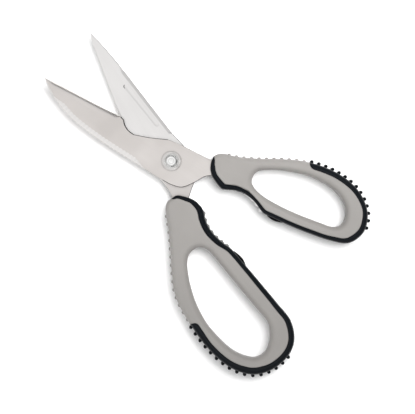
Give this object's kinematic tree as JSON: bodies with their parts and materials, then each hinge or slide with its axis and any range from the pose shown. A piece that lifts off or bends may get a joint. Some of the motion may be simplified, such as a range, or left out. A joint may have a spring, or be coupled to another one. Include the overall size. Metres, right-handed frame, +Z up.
{
  "type": "poultry shears",
  "caption": "Poultry shears lying half open: two pivoted steel blades, one serrated with a bone notch, and two looped two-material handles with toothed jaws between them.",
  "frame": {"origin": "centre of the footprint on the plane that the shears lie on, in the half-open pose", "axes": "+X from the handles towards the blade tips along the line that halves the opening, +Z up and parallel to the pivot, +Y to the left"},
  "size_m": [0.2328, 0.1398, 0.014],
  "materials": {
    "blade_steel": "fine satin, ground bevels",
    "fastener_steel": "turned, half polished",
    "jaw_steel": "stamped, satin",
    "handle_grey": "satin moulded grey plastic",
    "grip_black": "satin blue-black soft plastic",
    "pad_black": "matte black"
  },
  "bodies": {
    "lower_half": {"lower_blade": "blade_steel", "lower_handle_core": "handle_grey", "lower_handle_grip": "grip_black", "lower_jaw_plate": "jaw_steel", "lower_stop_pad": "pad_black", "pivot_screw": "fastener_steel", "pivot_washer": "fastener_steel", "pivot_nut": "fastener_steel"},
    "upper_half": {"upper_blade": "blade_steel", "upper_handle_core": "handle_grey", "upper_handle_grip": "grip_black", "upper_jaw_plate": "jaw_steel", "upper_stop_pad": "pad_black"}
  },
  "joints": [
    {"name": "blade_pivot", "type": "hinge", "parent": "lower_half", "child": "upper_half", "pos_m": [0.02362, 0.0025, 0.007], "axis": [0, 0, 1], "range_deg": [-23.5, 55]}
  ]
}
